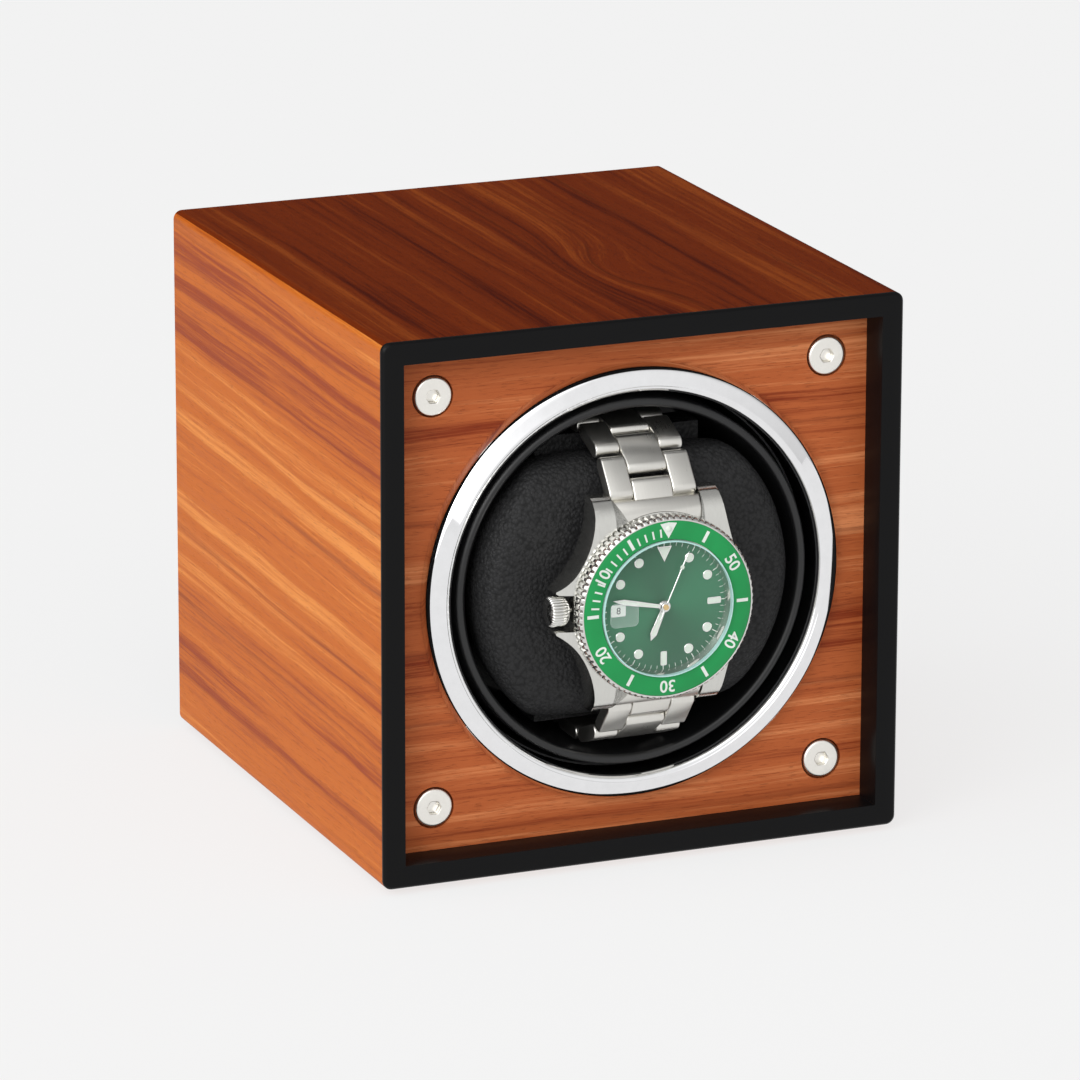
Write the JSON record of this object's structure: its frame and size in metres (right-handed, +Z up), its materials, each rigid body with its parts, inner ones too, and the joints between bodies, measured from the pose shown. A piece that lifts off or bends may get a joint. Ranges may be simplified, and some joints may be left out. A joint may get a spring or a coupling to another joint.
{
  "type": "watch winder box",
  "caption": "Cube watch winder: veneered cabinet, recessed front with chrome ring, geared rotor cup and a pull-out leather pillow wearing a diver's wristwatch.",
  "frame": {"origin": "centre of the whole part's footprint, on the plane its feet rest on", "axes": "+Z up, -Y out of the front where the watch faces, +X to the viewer's right; the rotor turns about an axis parallel to Y"},
  "size_m": [0.12, 0.1476, 0.1215],
  "materials": {
    "walnut_veneer": "clear satin lacquer over printed grain",
    "raw_board": "raw",
    "black_lacquer": "satin",
    "black_gloss": "gloss",
    "black_plastic": "matte",
    "white_nylon": "matte",
    "chrome": "mirror",
    "plated_steel": "satin",
    "brass": "machined",
    "rubber": "matte",
    "circuit_board": "solder mask",
    "led_lens": "translucent",
    "wire_sheath": "PVC",
    "black_leather": "fine pebble grain",
    "watch_steel": "brushed",
    "hand_steel": "polished",
    "green_dial": "sunray lacquer",
    "green_insert": "gloss",
    "lume": "matte",
    "sapphire": "polished"
  },
  "bodies": {
    "cabinet": {"top_panel": "walnut_veneer", "bottom_panel": "walnut_veneer", "left_panel": "walnut_veneer", "right_panel": "walnut_veneer", "front_frame": "black_lacquer", "front_panel": "walnut_veneer", "trim_ring": "chrome", "panel_screws": "plated_steel", "corner_posts": "raw_board", "threaded_inserts": "brass", "rotor_housing": "black_plastic", "housing_screws": "plated_steel", "rear_cover": "black_plastic", "rear_cover_screws": "plated_steel", "rubber_feet": "rubber", "shaft_bushes": "brass", "thrust_washer": "white_nylon", "motor_plate": "plated_steel", "plate_standoffs": "brass", "drive_screws": "plated_steel", "gearbox": "plated_steel", "motor_can": "plated_steel", "control_board": "circuit_board", "board_parts": "black_plastic", "dc_jack": "black_plastic", "rotary_switch": "plated_steel", "power_switch": "black_plastic", "status_led": "led_lens", "motor_wires": "wire_sheath"},
    "rotor": {"rotor_cup": "black_gloss", "rotor_shaft": "plated_steel", "driven_gear": "white_nylon", "retaining_clip": "plated_steel", "cup_screw": "plated_steel"},
    "motor_output": {"pinion": "brass", "motor_shaft": "plated_steel"},
    "mode_knob": {"mode_knob": "black_plastic"},
    "power_button": {"power_button": "plated_steel"},
    "pillow": {"pillow_cover": "black_leather", "pillow_core": "black_leather", "watch_case": "watch_steel", "watch_caseback": "watch_steel", "watch_movement": "brass", "watch_dial": "green_dial", "hour_markers": "lume", "watch_crystal": "sapphire", "date_lens": "sapphire", "end_links": "watch_steel", "outer_links": "watch_steel", "centre_links": "watch_steel", "link_pins": "watch_steel", "clasp": "watch_steel"},
    "bezel": {"watch_bezel": "watch_steel", "bezel_insert": "green_insert"},
    "hour_hand": {"hour_hand": "hand_steel"},
    "minute_hand": {"minute_hand": "hand_steel"},
    "seconds_hand": {"seconds_hand": "hand_steel"},
    "crown_stem": {"crown_stem": "watch_steel"},
    "crown": {"watch_crown": "watch_steel"},
    "winding_weight": {"winding_weight": "watch_steel"}
  },
  "joints": [
    {"name": "rotor_spin", "type": "hinge", "parent": "cabinet", "child": "rotor", "pos_m": [0, -0.01215, 0.0615], "axis": [0, -1, 0], "continuous": true},
    {"name": "motor_spin", "type": "hinge", "parent": "cabinet", "child": "motor_output", "pos_m": [0, 0.01185, 0.0315], "axis": [0, -1, 0], "continuous": true},
    {"name": "mode_turn", "type": "hinge", "parent": "cabinet", "child": "mode_knob", "pos_m": [0.024, 0.06885, 0.0895], "axis": [0, -1, 0], "range_deg": [-135, 135]},
    {"name": "power_press", "type": "slide", "parent": "cabinet", "child": "power_button", "axis": [0, -1, 0], "range_m": [0, 0.0015], "stiffness_N_per_m": 600, "springref_m": -0.0005},
    {"name": "pillow_slide", "type": "slide", "parent": "rotor", "child": "pillow", "axis": [0, -1, 0], "range_m": [0, 0.06]},
    {"name": "bezel_turn", "type": "hinge", "parent": "pillow", "child": "bezel", "pos_m": [0, -0.07015, 0.0609], "axis": [0, -1, 0], "continuous": true},
    {"name": "minute_turn", "type": "hinge", "parent": "pillow", "child": "minute_hand", "pos_m": [0, -0.07095, 0.0609], "axis": [0, 1, 0], "continuous": true},
    {"name": "hour_turn", "type": "hinge", "parent": "pillow", "child": "hour_hand", "pos_m": [0, -0.07055, 0.0609], "axis": [0, 1, 0], "continuous": true},
    {"name": "seconds_turn", "type": "hinge", "parent": "pillow", "child": "seconds_hand", "pos_m": [0, -0.07125, 0.0609], "axis": [0, 1, 0], "continuous": true},
    {"name": "crown_pull", "type": "slide", "parent": "pillow", "child": "crown_stem", "axis": [-1, 0, 0], "range_m": [0, 0.0012]},
    {"name": "crown_turn", "type": "hinge", "parent": "crown_stem", "child": "crown", "pos_m": [-0.022, -0.06515, 0.0609], "axis": [-1, 0, 0], "continuous": true},
    {"name": "weight_swing", "type": "hinge", "parent": "pillow", "child": "winding_weight", "pos_m": [0, -0.06215, 0.0609], "axis": [0, -1, 0], "continuous": true}
  ],
  "couplings": [
    {"joint": "motor_spin", "follows": "rotor_spin", "ratio": -4},
    {"joint": "hour_turn", "follows": "minute_turn", "ratio": 0.083333},
    {"joint": "seconds_turn", "follows": "minute_turn", "ratio": 60}
  ]
}
